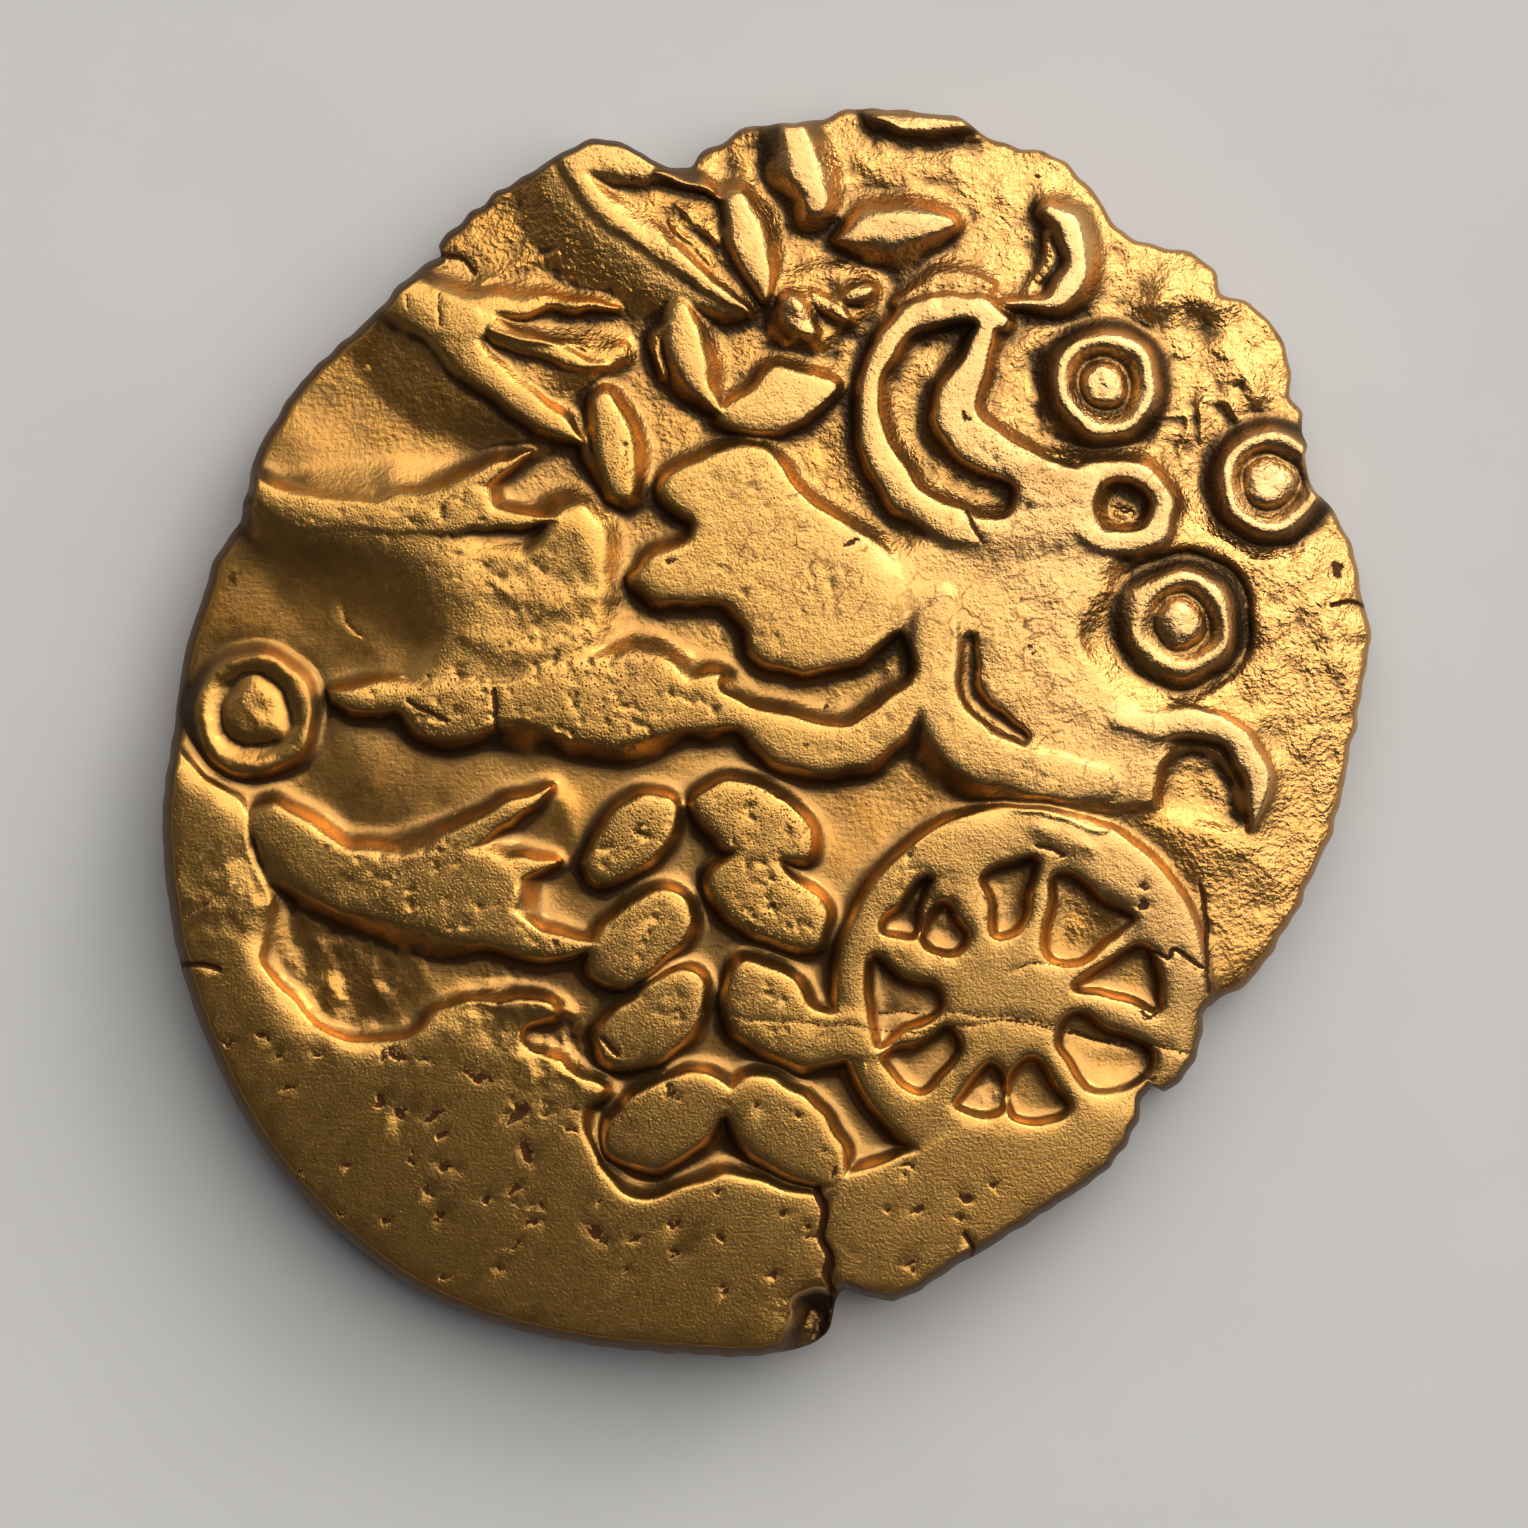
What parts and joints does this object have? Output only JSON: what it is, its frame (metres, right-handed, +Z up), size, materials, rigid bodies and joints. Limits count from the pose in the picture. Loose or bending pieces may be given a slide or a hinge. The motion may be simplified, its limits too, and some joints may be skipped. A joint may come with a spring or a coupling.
{
  "type": "gold coin",
  "caption": "Thick dished gold coin struck with wreath leaves, forked locks, crescents, ringed pellets and a spoked wheel, lying on its hollow side.",
  "frame": {"origin": "under the middle of the coin, on the surface that it lies on", "axes": "+Z up through the struck face, +Y along the longer side of the flan, +X to the right with the spoked wheel at the lower right"},
  "size_m": [0.0178, 0.0184, 0.0026],
  "materials": {
    "gold": "struck gold alloy, satin worn tops, warmer red-brown in the recesses, fine pits and hairline cracks"
  },
  "bodies": {
    "root": {"coin": "gold"}
  },
  "joints": []
}
